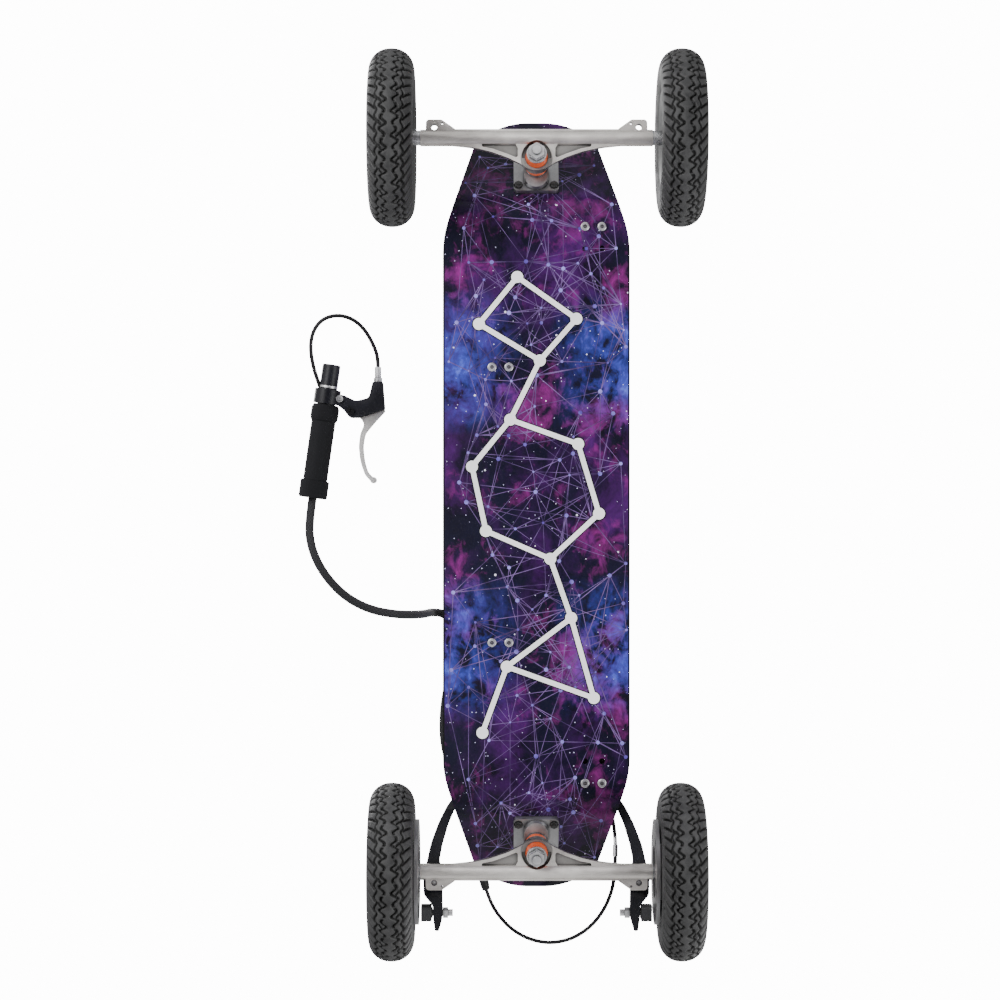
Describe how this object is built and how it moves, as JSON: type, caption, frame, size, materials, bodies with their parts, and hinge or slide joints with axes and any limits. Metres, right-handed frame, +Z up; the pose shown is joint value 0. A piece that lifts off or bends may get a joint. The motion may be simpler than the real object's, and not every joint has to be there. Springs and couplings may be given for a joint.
{
  "type": "mountainboard",
  "caption": "All-terrain skateboard with kicked deck, sprung cast trucks, knobby air tyres, foot straps and a cable hand brake on a leash.",
  "frame": {"origin": "on the ground, on the centreline, midway between the two axles", "axes": "+X forward to the nose, +Y to the rider's left of travel, +Z up"},
  "size_m": [1.043, 0.4574, 0.2184],
  "materials": {
    "deck_print": "gloss",
    "grip": "matte",
    "cast_alu": "satin",
    "baseplate": "satin",
    "steel": "satin",
    "bushing": "satin",
    "black_metal": "satin",
    "tyre": "matte",
    "tube_rubber": "matte",
    "hub": "satin",
    "rotor": "satin",
    "pad": "matte",
    "foam": "matte",
    "sleeve": "matte",
    "cable": "satin",
    "strap": "matte",
    "polished": "polished",
    "zinc": "satin"
  },
  "bodies": {
    "board": {"deck": "deck_print", "grip_tape": "grip", "binding_bolts": "zinc", "binding_brackets": "black_metal", "front_binding_strap": "strap", "rear_binding_strap": "strap", "foot_pads": "foam", "front_baseplate": "baseplate", "rear_baseplate": "baseplate", "pivot_cups": "bushing", "kingpin_sets": "zinc", "front_bushings": "bushing", "rear_bushings": "bushing", "truck_bolts": "black_metal", "handle_tube": "black_metal", "foam_grip": "foam", "grip_collar": "foam", "lever_bracket": "black_metal", "lever_screws": "steel", "leash_sleeve": "sleeve", "lever_cable": "cable", "brake_cable": "cable"},
    "brake_lever": {"brake_lever": "polished"},
    "barrel_adjuster": {"barrel_adjuster": "zinc"},
    "front_truck": {"front_hanger": "cast_alu", "front_axle": "steel", "front_axle_nuts": "zinc"},
    "rear_truck": {"rear_hanger": "cast_alu", "rear_axle": "steel", "rear_axle_nuts": "zinc", "brake_studs": "zinc", "cable_boot": "cable", "cable_wire": "steel"},
    "left_arm": {"left_brake_arm": "black_metal", "left_brake_pad": "pad", "left_pad_hardware": "zinc", "cable_noodle": "steel"},
    "right_arm": {"right_brake_arm": "black_metal", "right_brake_pad": "pad", "right_pad_hardware": "zinc"},
    "front_left_wheel": {"front_left_tyre": "tyre", "front_left_inner_tube": "tube_rubber", "front_left_hub": "hub", "front_left_wheel_hardware": "steel"},
    "front_right_wheel": {"front_right_tyre": "tyre", "front_right_inner_tube": "tube_rubber", "front_right_hub": "hub", "front_right_wheel_hardware": "steel"},
    "rear_left_wheel": {"rear_left_tyre": "tyre", "rear_left_inner_tube": "tube_rubber", "rear_left_hub": "hub", "rear_left_wheel_hardware": "steel", "left_rotor": "rotor"},
    "rear_right_wheel": {"rear_right_tyre": "tyre", "rear_right_inner_tube": "tube_rubber", "rear_right_hub": "hub", "rear_right_wheel_hardware": "steel", "right_rotor": "rotor"}
  },
  "joints": [
    {"name": "front_steer", "type": "hinge", "parent": "board", "child": "front_truck", "pos_m": [0.3963, 0, 0.1035], "axis": [0.5607, 0, 0.828], "range_deg": [-5, 5], "stiffness_Nm_per_rad": 45, "deforming": ["front_bushings"]},
    {"name": "rear_steer", "type": "hinge", "parent": "board", "child": "rear_truck", "pos_m": [-0.3963, 0, 0.1035], "axis": [-0.5607, 0, 0.828], "range_deg": [-5, 5], "stiffness_Nm_per_rad": 45, "deforming": ["rear_bushings", "brake_cable", "leash_sleeve"]},
    {"name": "brake_pull", "type": "hinge", "parent": "board", "child": "brake_lever", "pos_m": [0.1046, -0.2075, 0.016], "axis": [0, 0, 1], "range_deg": [0, 18], "stiffness_Nm_per_rad": 0.4, "springref_deg": -5.73},
    {"name": "adjuster_turn", "type": "hinge", "parent": "board", "child": "barrel_adjuster", "pos_m": [0.14, -0.1775, 0.016], "axis": [1, 0, 0], "continuous": true},
    {"name": "left_arm_swing", "type": "hinge", "parent": "rear_truck", "child": "left_arm", "pos_m": [-0.432, 0.117, 0.1185], "axis": [0, 0, -1], "range_deg": [0, 2.4], "stiffness_Nm_per_rad": 0.5, "deforming": ["cable_wire", "cable_boot"]},
    {"name": "right_arm_swing", "type": "hinge", "parent": "rear_truck", "child": "right_arm", "pos_m": [-0.432, -0.117, 0.1185], "axis": [0, 0, 1], "range_deg": [0, 2.4], "stiffness_Nm_per_rad": 0.5},
    {"name": "front_left_spin", "type": "hinge", "parent": "front_truck", "child": "front_left_wheel", "pos_m": [0.42, 0.1655, 0.1015], "axis": [0, 1, 0], "continuous": true},
    {"name": "front_right_spin", "type": "hinge", "parent": "front_truck", "child": "front_right_wheel", "pos_m": [0.42, -0.1655, 0.1015], "axis": [0, 1, 0], "continuous": true},
    {"name": "rear_left_spin", "type": "hinge", "parent": "rear_truck", "child": "rear_left_wheel", "pos_m": [-0.42, 0.1655, 0.1015], "axis": [0, 1, 0], "continuous": true},
    {"name": "rear_right_spin", "type": "hinge", "parent": "rear_truck", "child": "rear_right_wheel", "pos_m": [-0.42, -0.1655, 0.1015], "axis": [0, 1, 0], "continuous": true}
  ],
  "couplings": [
    {"joint": "left_arm_swing", "follows": "brake_pull", "ratio": 0.13333},
    {"joint": "right_arm_swing", "follows": "brake_pull", "ratio": 0.13333}
  ]
}
